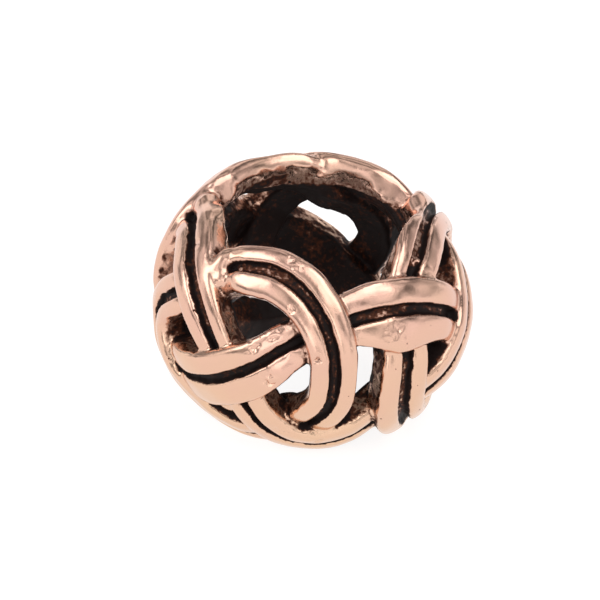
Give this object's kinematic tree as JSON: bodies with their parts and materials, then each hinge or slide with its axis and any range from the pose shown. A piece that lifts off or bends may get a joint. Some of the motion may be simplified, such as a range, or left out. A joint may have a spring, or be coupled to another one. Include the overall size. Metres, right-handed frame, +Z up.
{
  "type": "dreadlock bead",
  "caption": "Openwork metal bead with a round hair hole, its wall an interlaced knot of double-ridged bands, slid onto a lock of hair.",
  "frame": {"origin": "middle of the hair hole, level with the lower rim that the bead stands on", "axes": "+Z up along the hair hole, -Y towards the camera side of the picture, +X to its right"},
  "size_m": [0.014, 0.0139, 0.0099],
  "materials": {
    "cast_bronze": "polished ridges over dark oxidised grooves"
  },
  "bodies": {
    "root": {"knot_bead": "cast_bronze"}
  },
  "joints": []
}
